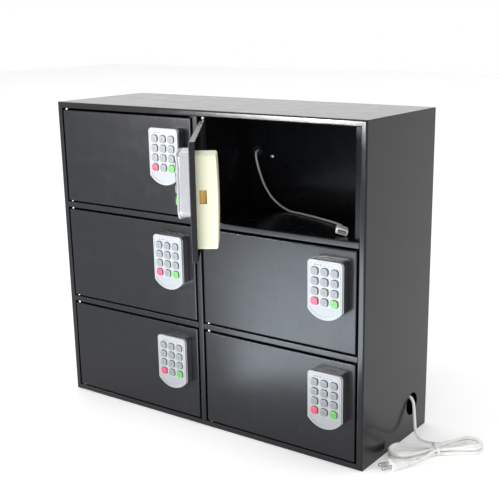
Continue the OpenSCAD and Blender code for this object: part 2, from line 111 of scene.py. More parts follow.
class Nodes:
    """A small helper that wires up one material."""

    def __init__(self, name):
        self.material = bpy.data.materials.new(name)
        self.material.use_nodes = True
        self.tree = self.material.node_tree
        self.shader = self.tree.nodes["Principled BSDF"]
        self.place = self.add("ShaderNodeTexCoord").outputs["Object"]

    def add(self, kind, **inputs):
        node = self.tree.nodes.new(kind)
        for key, value in inputs.items():
            self.put(node.inputs[key.replace("_", " ")], value)
        return node

    def put(self, socket, value):
        if isinstance(value, bpy.types.NodeSocket):
            self.tree.links.new(value, socket)
        else:
            socket.default_value = value

    def noise(self, scale, detail=3.0, roughness=0.55, stretch=(1, 1, 1)):
        mapped = self.add("ShaderNodeMapping", Vector=self.place, Scale=stretch)
        return self.add("ShaderNodeTexNoise", Vector=mapped.outputs[0], Scale=scale, Detail=detail,
                        Roughness=roughness).outputs["Fac"]

    def spread(self, fac, low, high, start=0.3, stop=0.7):
        """A number between low and high, from a 0 to 1 pattern."""
        return self.add("ShaderNodeMapRange", Value=fac, From_Min=start, From_Max=stop, To_Min=low,
                        To_Max=high).outputs[0]

    def blend(self, fac, a, b):
        node = self.add("ShaderNodeMix")
        node.data_type = "RGBA"
        self.put(node.inputs[0], fac)
        self.put(node.inputs[6], a)
        self.put(node.inputs[7], b)
        return node.outputs[2]

    def bump(self, height, distance, strength=1.0, below=None):
        node = self.add("ShaderNodeBump", Height=height, Distance=distance, Strength=strength)
        if below is not None:
            self.put(node.inputs["Normal"], below)
        return node.outputs[0]

    def set(self, **inputs):
        for key, value in inputs.items():
            self.put(self.shader.inputs[key.replace("_", " ")], value)
        return self.material


def tint(color, factor):
    return tuple(min(1.0, c * factor) for c in color[:3]) + (1.0,)


def powder_coat(name, color, gloss, shine):
    """Semi-gloss powder coat: fine orange peel, faint waviness of the sheet, and handling marks."""
    m = Nodes(name)
    peel = m.noise(900, 2)
    wave = m.noise(9, 2)
    smudge = m.noise(34, 5, 0.65)
    marks = m.noise(90, 6, 0.7, (1, 1, 0.4))
    shade = m.blend(m.spread(smudge, 0, 1), tint(color, 0.86), tint(color, 1.12))
    rough = m.add("ShaderNodeMath")
    rough.operation = "ADD"
    m.put(rough.inputs[0], m.spread(smudge, gloss - 0.02, gloss + 0.03))
    m.put(rough.inputs[1], m.spread(marks, 0.0, 0.03, 0.5, 0.75))
    normal = m.bump(wave, 0.0004, 0.25)
    normal = m.bump(peel, 0.00002, 0.5, normal)
    return m.set(Base_Color=shade, Roughness=rough.outputs[0], Specular_IOR_Level=shine, Normal=normal)


def moulded(name, color, gloss, grain=700, coat=0.0, fade=0.93):
    """Injection-moulded plastic: fine surface grain and slightly uneven gloss and tone."""
    m = Nodes(name)
    tone = m.noise(40, 4)
    fine = m.noise(grain, 3)
    shade = m.blend(m.spread(tone, 0, 1), tint(color, fade), tint(color, 1.0))
    return m.set(Base_Color=shade, Roughness=m.spread(fine, gloss - 0.04, gloss + 0.04), Coat_Weight=coat,
                 Coat_Roughness=0.12, Normal=m.bump(fine, 0.00003, 0.35))


def metal(name, color, gloss, stretch=(1, 1, 1), scale=500, dirt=0.82):
    """Plated or bare metal with fine directional polishing marks."""
    m = Nodes(name)
    lines = m.noise(scale, 4, 0.6, stretch)
    cloud = m.noise(60, 4)
    shade = m.blend(m.spread(cloud, 0, 1), tint(color, dirt), tint(color, 1.0))
    return m.set(Base_Color=shade, Metallic=1.0, Roughness=m.spread(lines, gloss - 0.05, gloss + 0.07),
                 Normal=m.bump(lines, 0.00001, 0.4))


def cable_jacket(name, color, gloss):
    """Soft jacket: handling dust and slight dents."""
    m = Nodes(name)
    dents = m.noise(120, 3)
    dust = m.noise(30, 5, 0.7)
    shade = m.blend(m.spread(dust, 0, 1), tint(color, 0.94), tint(color, 1.0))
    return m.set(Base_Color=shade, Roughness=m.spread(dust, gloss - 0.05, gloss + 0.06),
                 Normal=m.bump(dents, 0.0002, 0.3))


COAT = powder_coat("charcoal_powder_coat", (0.0042, 0.0047, 0.0062), 0.25, 0.34)
COAT_CASE = powder_coat("charcoal_powder_coat_case", (0.005, 0.0055, 0.007), 0.16, 0.34)
COAT_IN = powder_coat("charcoal_powder_coat_inside", (0.006, 0.0064, 0.0078), 0.28, 0.16)
ZINC = metal("zinc_plate", (0.72, 0.74, 0.78), 0.24, dirt=0.7)
CHROME = metal("satin_chrome", (0.62, 0.63, 0.66), 0.2, (1, 1, 0.04), 900, 0.92)
BRASS = metal("satin_brass", (0.62, 0.36, 0.09), 0.3, (0.06, 1, 1), 700, 0.75)
NICKEL = metal("nickel_blade", (0.5, 0.5, 0.52), 0.26, (1, 0.1, 1), 600, 0.7)
COPPER = metal("gold_contact", (0.85, 0.6, 0.25), 0.25)
RUBBER = moulded("black_rubber", (0.012, 0.012, 0.013), 0.7, 900, fade=0.7)
BLACK = moulded("black_abs", (0.015, 0.015, 0.017), 0.45, 1100, fade=0.75)
FACE = moulded("keypad_face_white", (0.27, 0.275, 0.286), 0.34, 900, 0.0, 0.97)
# Painted shade: the white face plastic made darker, for the shade in the dished chin.
FACE_DISH_SHADE = moulded("keypad_face_dish_shade", (0.235, 0.243, 0.257), 0.38, 900, 0.0, 0.95)
KEY = moulded("key_cap_grey", (0.165, 0.17, 0.174), 0.42, 1200, fade=0.93)
# Painted shade: the key skirts are coloured darker than the caps, standing for the shade on the keys' low
# sides next to the face.
KEY_SKIRT_SHADE = moulded("key_skirt_painted_shade", (0.08, 0.084, 0.088), 0.5, 1200, fade=0.85)
KEY_RED = moulded("key_cap_red", (0.45, 0.03, 0.08), 0.4, 1200, fade=0.9)
KEY_GREEN = moulded("key_cap_green", (0.07, 0.3, 0.035), 0.4, 1200, fade=0.9)
INK = moulded("key_digit_ink", (0.12, 0.12, 0.13), 0.55, 1500, fade=0.8)
IVORY = moulded("ivory_case", (0.76, 0.755, 0.55), 0.36, 800, 0.15, 0.97)
WHITE = moulded("white_shell", (0.82, 0.82, 0.8), 0.36, 900, 0.1, 0.95)
SLOT = moulded("socket_tongue", (0.03, 0.03, 0.035), 0.5, 900, fade=0.8)
JACKET = cable_jacket("white_jacket", (0.84, 0.84, 0.82), 0.42)
BOARD = moulded("circuit_board", (0.02, 0.16, 0.07), 0.35, 500, 0.3, 0.8)
CELL = moulded("cell_sleeve", (0.04, 0.07, 0.25), 0.35, 600, 0.3, 0.8)


# ---------- mesh building ----------

class Maker:
    """Collects solids, drawn in millimetres, into one mesh with several materials."""

    def __init__(self):
        self.bm = bmesh.new()

    def take(self, part, mat=0, place=None):
        bmesh.ops.recalc_face_normals(part, faces=part.faces)
        if place is not None:
            bmesh.ops.transform(part, matrix=place, verts=part.verts)
        for face in part.faces:
            face.material_index = mat
            face.smooth = True
        mesh = bpy.data.meshes.new("part")
        part.to_mesh(mesh)
        part.free()
        self.bm.from_mesh(mesh)
        bpy.data.meshes.remove(mesh)
        return self

    def join(self, mesh, mat=None, place=None):
        """Adds a mesh and does away with it. Its own materials stay unless one is given."""
        if place is not None:
            mesh.transform(place)
        if mat is not None:
            for polygon in mesh.polygons:
                polygon.material_index = mat
        self.bm.from_mesh(mesh)
        bpy.data.meshes.remove(mesh)
        return self

    def box(self, low, high, r=0.3, mat=0, place=None, steps=2):
        part = bmesh.new()
        bmesh.ops.create_cube(part, size=1)
        for v in part.verts:
            v.co = Vector([low[i] if v.co[i] < 0 else high[i] for i in range(3)])
        round_edges(part, r, steps)
        return self.take(part, mat, place)

    def loft(self, rings, mat=0, place=None, ends=True, r=0.0, closed=False):
        """Skins a list of rings, each a list of points, and caps both ends."""
        part = bmesh.new()
        rows = [[part.verts.new(p) for p in ring] for ring in rings]
        count = len(rows[0])
        pairs = list(zip(rows, rows[1:])) + ([(rows[-1], rows[0])] if closed else [])
        for a, b in pairs:
            for i in range(count):
                j = (i + 1) % count
                part.faces.new((a[i], a[j], b[j], b[i]))
        if ends and not closed:
            part.faces.new(rows[0])
            part.faces.new(rows[-1])
        if r:
            round_edges(part, r, 2, 50)
        return self.take(part, mat, place)

    def prism(self, outline, a, b, axis="z", r=0.3, mat=0, place=None, angle=50):
        """Extrudes a 2D outline along an axis. Outlines are (x, y), (y, z) for x, or (x, z) for y."""
        lift = {"x": lambda p, t: (t, p[0], p[1]), "y": lambda p, t: (p[0], t, p[1]),
                "z": lambda p, t: (p[0], p[1], t)}[axis]
        part = bmesh.new()
        rows = [[part.verts.new(lift(p, t)) for p in outline] for t in (a, b)]
        for i in range(len(outline)):
            j = (i + 1) % len(outline)
            part.faces.new((rows[0][i], rows[0][j], rows[1][j], rows[1][i]))
        part.faces.new(rows[0])
        part.faces.new(rows[1])
        round_edges(part, r, 2, angle)
        return self.take(part, mat, place)

    def lathe(self, profile, place, mat=0, count=32):
        """Turns (radius, height) points about Z, from one end of the axis to the other."""
        part = bmesh.new()
        rows = [[part.verts.new((r * math.cos(t), r * math.sin(t), h)) for t in turn(count)] if r > 1e-6
                else [part.verts.new((0, 0, h))] for r, h in profile]
        for a, b in zip(rows, rows[1:]):
            for i in range(count):
                ring = [a[i % len(a)], a[(i + 1) % len(a)], b[(i + 1) % len(b)], b[i % len(b)]]
                ring = [v for k, v in enumerate(ring) if v not in ring[:k]]
                if len(ring) > 2:
                    part.faces.new(ring)
        for row in (rows[0], rows[-1]):
            if len(row) > 1:
                part.faces.new(row)
        return self.take(part, mat, place)

    def frame_ring(self, w, h, profile, r=0.3, mat=0, place=None):
        """Sweeps a closed (inset, depth) outline round a w by h rectangle with mitred corners."""
        rings = []
        for inset, depth in profile:
            x0, x1, z0, z1 = inset, w - inset, inset, h - inset
            rings.append([(x0, depth, z0), (x1, depth, z0), (x1, depth, z1), (x0, depth, z1)])
        return self.loft(rings, mat, place, closed=True, r=r)

    def mesh(self, name):
        mesh = bpy.data.meshes.new(name)
        self.bm.to_mesh(mesh)
        self.bm.free()
        return mesh


def turn(count):
    return [2 * math.pi * i / count for i in range(count)]


def round_edges(part, r, steps=2, angle=30):
    if r <= 0:
        return
    bmesh.ops.recalc_face_normals(part, faces=part.faces)
    sharp = [e for e in part.edges if len(e.link_faces) == 2 and e.calc_face_angle(0) > math.radians(angle)]
    if sharp:
        bmesh.ops.bevel(part, geom=sharp, offset=r, segments=steps, profile=0.5, affect="EDGES",
                        clamp_overlap=True)


def folded(points, thickness=SHEET, bend=1.2, steps=4):
    """Outline of a folded sheet from its middle line, with round bends, one radius or a list of them."""
    pts = [Vector(p) for p in points]
    bends = bend if isinstance(bend, list) else [bend] * len(pts)
    sides = {1: [], -1: []}
    for i, p in enumerate(pts):
        into = (p - pts[i - 1]).normalized() if i else None
        out = (pts[i + 1] - p).normalized() if i + 1 < len(pts) else None
        if into is None or out is None:
            d = out or into
            for s in sides:
                sides[s].append(p + Vector((-d.y, d.x)) * s * thickness / 2)
            continue
        phi = math.atan2(into.x * out.y - into.y * out.x, into.dot(out))
        sign = 1 if phi > 0 else -1
        normal = Vector((-into.y, into.x))
        centre = p - into * bends[i] * math.tan(abs(phi) / 2) + normal * bends[i] * sign
        for s in sides:
            radius = bends[i] - sign * s * thickness / 2
            for k in range(steps + 1):
                sides[s].append(centre + Matrix.Rotation(phi * k / steps, 2) @ (normal * -sign * radius))
    return [tuple(v) for v in sides[1] + sides[-1][::-1]]


def rounded(w, h, r, steps=6):
    """A w by h rectangle with round corners about the origin."""
    out = []
    for cx, cy, start in ((1, 1, 0), (-1, 1, 90), (-1, -1, 180), (1, -1, 270)):
        for k in range(steps + 1):
            t = math.radians(start + 90 * k / steps)
            out.append((cx * (w / 2 - r) + r * math.cos(t), cy * (h / 2 - r) + r * math.sin(t)))
    return out


def lock_outline(inset):
    """Front outline of a lock: an arc for a chin, straight sides and round top corners."""
    half, top = LOCK_W / 2 - inset, LOCK_H - inset
    chin_r = ((LOCK_W / 2) ** 2 + CHIN ** 2) / (2 * CHIN)
    arc_r, corner = chin_r - inset, max(CORNER_R - inset, 0.8)
    reach = math.asin(half / arc_r)
    out = []
    for k in range(25):
        t = reach * (k / 12 - 1)
        out.append((arc_r * math.sin(t), chin_r - arc_r * math.cos(t)))
    for sx, start in ((1, 0), (-1, 90)):
        for k in range(9):
            t = math.radians(start + 90 * k / 8)
            out.append((sx * (half - corner) + corner * math.cos(t), top - corner + corner * math.sin(t)))
    return out


def standing(outline, y):
    return [(p[0], y, p[1]) for p in outline]


def shape_object(name, mesh, mats, matrix=None):
    """One object in metres, from a mesh drawn in millimetres. Doors share their meshes."""
    if not mesh.materials:
        mesh.transform(Matrix.Scale(MM, 4))
        for mat in mats:
            mesh.materials.append(mat)
    obj = bpy.data.objects.new(name, mesh)
    bpy.context.scene.collection.objects.link(obj)
    place = (matrix or Matrix.Identity(4)).copy()
    place.translation = place.translation * MM
    obj.matrix_world = place
    return obj


def carve(solid, cutters):
    """Cuts one Maker's solids out of another's and returns the mesh."""
    a = bpy.data.objects.new("solid", solid.mesh("solid"))
    b = bpy.data.objects.new("cutters", cutters.mesh("cutters"))
    for o in (a, b):
        bpy.context.scene.collection.objects.link(o)
    cut = a.modifiers.new("cut", "BOOLEAN")
    cut.operation, cut.solver, cut.object = "DIFFERENCE", "EXACT", b
    bpy.context.view_layer.update()
    mesh = bpy.data.meshes.new_from_object(a.evaluated_get(bpy.context.evaluated_depsgraph_get()))
    for o in (a, b):
        bpy.data.objects.remove(o)
    for polygon in mesh.polygons:
        polygon.use_smooth = True
    return mesh


def piece(name, made, mats, body, nodes, matrix=None, angle=35):
    """Adds one finished piece: its mesh or Maker, materials, body and the CAD nodes it stands for."""
    mesh = made.mesh(name) if isinstance(made, Maker) else made
    obj = shape_object(name, mesh, mats, matrix)
    mesh.set_sharp_from_angle(angle=math.radians(angle))
    flat = obj.modifiers.new("normals", "WEIGHTED_NORMAL")
    flat.keep_sharp = True
    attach(obj, body)
    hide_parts(*nodes)
    return obj


# ---------- camera ----------

def place_camera():
    azimuth, elevation, roll = math.radians(35.09), math.radians(15.45), math.radians(-0.65)
    back = Vector((math.sin(azimuth) * math.cos(elevation), -math.cos(azimuth) * math.cos(elevation),
                   math.sin(elevation)))
    right = Vector((math.cos(azimuth), math.sin(azimuth), 0))
    up = back.cross(right)
    x_axis = math.cos(roll) * right + math.sin(roll) * up
    y_axis = math.cos(roll) * up - math.sin(roll) * right
    data = bpy.data.cameras.new("camera")
    data.lens, data.sensor_width, data.sensor_fit = 67.43, 36, "HORIZONTAL"
    data.shift_x, data.shift_y = -0.0426, 0.049
    data.clip_start, data.clip_end = 0.05, 60
    camera = bpy.data.objects.new("camera", data)
    bpy.context.scene.collection.objects.link(camera)
    camera.matrix_world = Matrix.Translation((0.91965, -1.21726, 0.65645)) @ Matrix(
        (x_axis, y_axis, back)).transposed().to_4x4()
    bpy.context.scene.camera = camera


place_camera()


# ---------- cords ----------

def smooth_line(points, steps):
    """Points along a smooth curve through the given points."""
    pts = [Vector(p) for p in points]
    out = []
    for i in range(len(pts) - 1):
        a, b, c, d = pts[max(i - 1, 0)], pts[i], pts[i + 1], pts[min(i + 2, len(pts) - 1)]
        for k in range(steps):
            t = k / steps
            out.append(0.5 * (2 * b + (c - a) * t + (2 * a - 5 * b + 4 * c - d) * t * t
                              + (3 * b - a - 3 * c + d) * t ** 3))
    return out + [pts[-1]]


def cord_piece(name, points, radius, mat, nodes, sides=4):
    data = bpy.data.curves.new(name, "CURVE")
    data.dimensions, data.fill_mode = "3D", "FULL"
    data.bevel_depth, data.bevel_resolution, data.use_fill_caps = radius * MM, sides, True
    line = data.splines.new("POLY")
    line.points.add(len(points) - 1)
    for place, point in zip(line.points, points):
        place.co = (*(point * MM), 1)
    line.use_smooth = True
    obj = bpy.data.objects.new(name, data)
    bpy.context.scene.collection.objects.link(obj)
    data.materials.append(mat)
    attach(obj, "cabinet")
    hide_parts(*nodes)
    return obj


def real(route):
    return [Vector((x, FRONT + depth, z)) for x, depth, z in route]


def on_hank(u, v, z):
    """A point of the hank: u along it, v across it and z up from the floor."""
    c, s = math.cos(math.radians(HANK_HEADING)), math.sin(math.radians(HANK_HEADING))
    return Vector((HANK_AT[0] + u * c - v * s, HANK_AT[1] + u * s + v * c, z))


# Each turn of the hank: its reach and half width, the half width and height at its waist, and the
# heights of its right and left loops
HANK_TURNS = [(75, 19.2, 8.3, 3.75, 3.75, 3.75), (71, 15.4, 2.8, 3.8, 7.5, 7.6),
              (74.5, 19.0, 2.7, 9.0, 10.6, 11.4), (72, 15.6, 8.4, 9.3, 13.2, 15.0)]
# Points in half a turn, the first and last of them on its round end, the angle between those, and
# the points over which one turn becomes the next
HALF_TURN, ARC_START, ARC_END, ARC_STEP, BLEND = 14, 3, 11, 25, 8


def hank_points():
    """Four turns of a long loop with round ends, pinched at its waist, each turn leading into the next."""
    out = []
    last = len(HANK_TURNS) - 1
    for k, row in enumerate(HANK_TURNS):
        after = HANK_TURNS[min(k + 1, last)]
        start = ARC_START if k == 0 else 0
        stop = HALF_TURN + 1 if k == last else 2 * HALF_TURN
        for i in range(start, stop):
            share = max(0, i - 2 * HALF_TURN + BLEND) / BLEND
            reach, wide, waist, low, right, left = [p + (q - p) * share for p, q in zip(row, after)]
            side, step = (1 if i < HALF_TURN else -1), i % HALF_TURN
            t = math.radians(ARC_STEP * (HALF_TURN / 2 - min(max(step, ARC_START), ARC_END)))
            along = min(1, step / ARC_START, (HALF_TURN - step) / ARC_START)
            middle = waist if step < HALF_TURN / 2 else -waist
            v = middle + (wide * math.sin(t) - middle) * along
            z = low + ((right if side > 0 else left) - low) * along
            out.append(on_hank((reach - wide + wide * math.cos(t)) * along * side, v * side, z))
    return out


def mains_cord():
    """The mains lead in one run: out of the case, through the hank's turns and on to the plug."""
    lead = real(LEAD_ROUTE) + [on_hank(33, 20.5, 3.7)]
    tail = [on_hank(-12, -12.8, 8.6), on_hank(-22, -18, 6)] + real(TAIL_ROUTE)
    line = smooth_line(lead + hank_points() + tail, 6)
    tie, plug = cord_tie(), mains_plug()
    cord = cord_piece("mains_cord", line, LEAD_R, JACKET, ["mains_lead", "cord_hank"], 5)


def cord_tie():
    """A flat plastic strip round the pinched waist, with its two ends twisted together."""
    m = Maker()
    place = moved(*HANK_AT, 0) @ turned(HANK_HEADING, "Z")
    outer, inner = rounded(24.6, 12.8, 4.5, 6), rounded(23.0, 11.2, 3.8, 6)
    rings = []
    for outline, u in ((outer, -2.6), (outer, 2.6), (inner, 2.6), (inner, -2.6)):
        rings.append([(u, p[0], p[1] + 6.9) for p in outline])
    m.loft(rings, closed=True, place=place, r=0.2)
    corners = ((-1, -0.3), (1, -0.3), (1, 0.3), (-1, 0.3))
    for side in (-1, 1):
        twist = []
        for k in range(15):
            t = math.radians(side * 40 + k * 34)
            y, z = 1.5 + k * 0.85, 13.6 + 1.1 * math.sin(k * 0.4)
            c, s = math.cos(t) * 0.9, math.sin(t) * 0.9
            twist.append([(c * a - s * b, y, z + s * a + c * b) for a, b in corners])
        m.loft(twist, place=place, r=0.08)
    return piece("cord_tie_strip", m, [WHITE], "cabinet", ["cord_tie"])


def mains_plug():
    """Two-prong plug: a waisted grip, a face, two flat blades with holes and a ribbed strain relief."""
    m = Maker()
    half = PLUG_L / 2
    place = moved(*PLUG_AT) @ turned(PLUG_HEADING, "Z")

    def section(x, w, t, r):
        return [(x, p[0], p[1]) for p in rounded(w, t, r)]

    body = [(-half, 9, 8, 3.6), (-half + 0.6, 10, 9, 4), (-half + 4, 13.5, 11, 4.6),
            (-half + 9, 16.5, 12.4, 5), (-half + 14, 17.5, 12.6, 5), (-half + 19, 18.6, 12.8, 5),
            (-half + 22, 21, 13.6, 5), (-half + 23.4, 22, 14, 4.6), (half - 0.9, 22, 14, 4.6),
            (half - 0.3, 21.6, 13.6, 4.4), (half, 20.6, 12.6, 4)]
    m.loft([section(*row) for row in body], place=place)
    for side in (-1, 1):
        for k in range(5):
            x = -half + 8 + k * 2.6
            m.box((x, -4.5, side * 6.0), (x + 1.1, 4.5, side * 6.75), 0.3, place=place)
        cutter, blade = Maker(), Maker()
        y, root, tip = side * BLADE_Y, half - 2, half + BLADE_L
        outline = [(root, -BLADE_HALF_W), (tip - 1.8, -BLADE_HALF_W), (tip, -2.0), (tip, 2.0),
                   (tip - 1.8, BLADE_HALF_W), (root, BLADE_HALF_W)]
        blade.prism(outline, y - BLADE_HALF_T, y + BLADE_HALF_T, "y", 0.15)
        hole = [(tip - 3.5 + 1.6 * math.cos(t), 1.6 * math.sin(t)) for t in turn(16)]
        cutter.prism(hole, y - 2, y + 2, "y", 0)
        m.join(carve(blade, cutter), 1, place)
    relief = []
    for k in range(33):
        x = -half + 0.5 - k * 0.5
        r = 4.2 - k * 0.035 + (0.35 if k % 4 < 2 else -0.15)
        relief.append((max(r, 2.7), x))
    m.lathe([(0, relief[0][1])] + relief + [(0, relief[-1][1])], place @ turned(90, "Y"), count=20)
    return piece("mains_plug_body", m, [JACKET, NICKEL], "cabinet", ["mains_plug"])


def port_z(k):
    """Height of the middle of one of the charger's ports."""
    return CHARGER_Z + PORT_EDGE + k * PORT_PITCH


def usb_lead():
    """The lead from the charger, up the wiring space and through the grommet into bay 4."""
    line = smooth_line(real(USB_ROUTE), 6)
    plug, socket = usb_plug(), usb_socket()
    cord = cord_piece("usb_lead", line, USB_R, JACKET, ["usb_cable"], 3)


def usb_plug():
    """The lead's other end, in the charger: a grip with ribs, a metal shell and its tongue."""
    m = Maker()
    place = moved(CHARGER_X, LEAD_Y, port_z(USED_PORT)) @ turned(90, "Z") @ turned(90, "X")
    body = [(24, 9, 5, 2), (23.2, 11, 6, 2.4), (18, 14, 7.2, 2.6), (10, 15.2, 7.6, 2.4), (1, 15.4, 7.6, 2.2),
            (0.3, 15, 7.2, 2)]
    m.loft([[(p[0], p[1], depth) for p in rounded(w, t, r)] for depth, w, t, r in body], place=place)
    for k in range(4):
        m.box((-4, 3.4, 9 + k * 2.6), (4, 4.0, 10.2 + k * 2.6), 0.25, place=place)
    hollow = Maker().box((-5.4, -1.7, -12), (5.4, 1.7, -1), 0, place=place)
    m.join(carve(Maker().box((-6, -2.3, -10), (6, 2.3, 0.6), 0.3, place=place), hollow), 1)
    m.box((-5.2, -1.4, -9.6), (5.2, 0.1, -0.5), 0.1, 2, place)
    return piece("usb_plug_body", m, [WHITE, ZINC, SLOT], "cabinet", ["usb_plug"])


def usb_socket():
    """The socket on the lead's free end: a rolled shell, its mouth, tongue and four contacts."""
    place = moved(*SOCKET_AT) @ turned(SOCKET_HEADING, "Z") @ turned(SOCKET_ROLL, "Y")
    shell = Maker()
    body = [(0.0, 17.2, 7.8, 1.8), (0.5, 18, 8.6, 2.0), (19, 18, 8.6, 2.2), (24, 16, 7.8, 2.6),
            (28, 11, 6.2, 2.6), (30, 7.5, 5.2, 2.4)]
    shell.loft([[(p[0], y, p[1]) for p in rounded(w, t, r)] for y, w, t, r in body], place=place)
    mouth = Maker().box((-6.55, -2, -2.9), (6.55, 12, 2.9), 0, place=place)
    m = Maker().join(carve(shell, mouth))
    lining = Maker().box((-6.5, 0.2, -2.85), (6.5, 11.9, 2.85), 0.1, place=place)
    inside = Maker().box((-6.1, -1, -2.45), (6.1, 11.5, 2.45), 0, place=place)
    m.join(carve(lining, inside), 1)
    m.box((-5.6, 1, 0.1), (5.6, 11.8, 1.9), 0.15, 2, place)
    for k in range(4):
        m.box((-3.9 + k * 2.2, 1.6, -0.1), (-2.8 + k * 2.2, 10, 0.15), 0.05, 3, place)
    mats = [WHITE, ZINC, SLOT, COPPER]
    return piece("usb_socket_body", m, mats, "cabinet", ["usb_socket"])


mains_cord()
usb_lead()


# ---------- cabinet ----------

def cover_points():
    """Where the rear cover's screws are: x, z."""
    reach, high = CASE_W / 2 - COVER_EDGE, CASE_H - COVER_EDGE
    rows = [(f * reach, z) for f in (-1, -0.33, 0.33, 1) for z in (COVER_EDGE, high)]
    return rows + [(f * reach, CASE_H / 2) for f in (-1, 1)]


def back_spot(n, x, z):
    """A place on the inner back panel, in the n-th compartment."""
    return bay(n)[0] + x, FRONT + BAY_DEPTH, bay(n)[1] + z


def rod(m, x, y, z, r, length, axis="y", count=24):
    """A plain round cutter or bar centred on a point."""
    lie = {"x": turned(90, "Y"), "y": turned(-90, "X"), "z": Matrix.Identity(4)}[axis]
    m.lathe([(r, -length / 2), (r, length / 2)], moved(x, y, z) @ lie, count=count)


def case_wrap():
    """The outer sheet, one fold profile all round, whose front strips lean back about 4 degrees."""
    m = Maker()
    rear = CASE_D - 1.5 * SHEET
    profile = folded([(16, rear), (0.6, rear), (0.6, 1.2), (9.4, 0.6), (9.4, RETURN_D)],
                     bend=[0, 1.6, 2.4, 1.2, 0], steps=6)
    m.frame_ring(CASE_W, CASE_H, profile, 0.3, place=moved(-CASE_W / 2, FRONT, 0))
    cut = Maker()
    rod(cut, WALL_X, FRONT + CORD_HOLE_DEPTH, CORD_HOLE_Z, CORD_HOLE_R, 20, "x", 64)
    for x in (-ANCHOR_X, ANCHOR_X):
        for depth in ANCHOR_DEPTHS:
            rod(cut, x, FRONT + depth, 0, ANCHOR_R, 12, "z")
    for x, z in cover_points():
        rod(cut, x, FRONT + rear, z, SCREW_HOLE_R, 6, "y")
    for n in (1, ROWS + 1):
        x = bay(n)[0] + GAP_HINGE + PIN_INSET
        for z in (STRIP - 0.6, CASE_H - STRIP + 0.6):
            rod(cut, x, FRONT + PIN_INSET, z, 1.55, 6, "z", 16)
    piece("case_wrap_shell", carve(m, cut), [COAT_CASE], "cabinet", ["case_wrap"])


def centre_divider():
    """The upright between the columns, with its folded front strip."""
    m = Maker()
    half = STRIP / 2 - SHEET / 2
    outline = folded([(-half, FRONT + RETURN_D), (-half, FRONT + 0.6), (half, FRONT + 0.6),
                      (half, FRONT + RETURN_D)])
    m.prism(outline, STRIP, CASE_H - STRIP, "z", 0.25)
    m.box((-0.6, FRONT + STOP_Y, SHEET), (0.6, FRONT + BAY_DEPTH, CASE_H - SHEET), 0.2)
    m.box((-half, FRONT + STOP_Y, STRIP), (half, FRONT + RETURN_D, CASE_H - STRIP), 0.2)
    piece("centre_divider_panel", m, [COAT], "cabinet", ["centre_divider"])


def door_stops():
    """The strips behind the doors' free edges."""
    m = Maker()
    for edge in (-STRIP / 2, CASE_W / 2 - STRIP):
        for n in range(1, ROWS + 1):
            z = bay(n)[1]
            m.box((edge - STOP_W, FRONT + STOP_Y, z), (edge, FRONT + RETURN_D, z + BAY_H), 0.35)
    piece("door_stop_strips", m, [COAT_IN], "cabinet", ["door_stops"])


def shelves():
    """Two shelves in each column: a folded front strip and a folded floor for each."""
    m = Maker()
    for n in range(1, DOORS + 1):
        if (n - 1) % ROWS == ROWS - 1:
            continue
        x0, z0 = bay(n)[0], bay(n)[1] - STRIP
        top = z0 + STRIP - 0.6
        m.prism(folded([(FRONT + STOP_Y, z0 + 0.6), (FRONT + 0.6, z0 + 0.6), (FRONT + 0.6, top),
                        (FRONT + RETURN_D, top)]), x0, x0 + BAY_W, "x", 0.25)
        inner = (-WALL_X, -0.6) if n <= ROWS else (0.6, WALL_X)
        m.prism(folded([(FRONT + RETURN_D - 0.2, top), (FRONT + BAY_DEPTH - 0.6, top),
                        (FRONT + BAY_DEPTH - 0.6, z0)]), *inner, "x", 0.25)
    piece("shelf_panels", m, [COAT], "cabinet", ["shelves"])


def inner_panel():
    """The compartments' back, with a rubber grommet and a screw hole in each."""
    panel_y = FRONT + BAY_DEPTH
    m = Maker().box((-WALL_X, panel_y, SHEET), (WALL_X, panel_y + SHEET, CASE_H - SHEET), 0.2)
    profile = [(3, -1.2), (3.3, -1.5), (7.8, -1.5), (8.5, -0.9), (8.5, -0.1), (6.95, 0), (6.95, 1.2),
               (8.5, 1.3), (8.5, 2.1), (7.8, 2.7), (3.3, 2.7), (3, 2.4)]
    cut, rubber = Maker(), Maker()
    for n in range(1, DOORS + 1):
        seat = back_spot(n, GROMMET_X, GROMMET_Z)
        rod(cut, *seat, GROMMET_R, 12)
        rod(cut, *back_spot(n, SCREW_X, SCREW_Z), SCREW_HOLE_R, 12)
        part = [[(r * math.cos(t), r * math.sin(t), h) for t in turn(40)] for r, h in profile]
        rubber.loft(part, place=moved(*seat) @ turned(-90, "X"), closed=True)
    piece("inner_back_sheet", carve(m, cut), [COAT_IN], "cabinet", ["inner_back_panel"])
    piece("cable_grommet_rings", rubber, [RUBBER], "cabinet", ["cable_grommets"])


def rear_cover():
    """The sheet that closes the back, with two groups of slots."""
    edge, y = WALL_X - 0.3, FRONT + CASE_D - SHEET
    m = Maker().box((-edge, y, SHEET + 0.3), (edge, y + SHEET, CASE_H - SHEET - 0.3), 0.3)
    cut = Maker()
    for x in (-CASE_W / 4, CASE_W / 4):
        for k in range(VENTS):
            z = CASE_H / 2 + (k - VENTS / 2) * VENT_PITCH + VENT_H / 2
            cut.prism([(x + p[0], z + p[1]) for p in rounded(VENT_W, VENT_H, 1.9)], y - 3, y + 4, "y", 0)
    for x, z in cover_points():
        rod(cut, x, y, z, SCREW_HOLE_R, 8)
    piece("rear_cover_sheet", carve(m, cut), [COAT], "cabinet", ["rear_cover"])


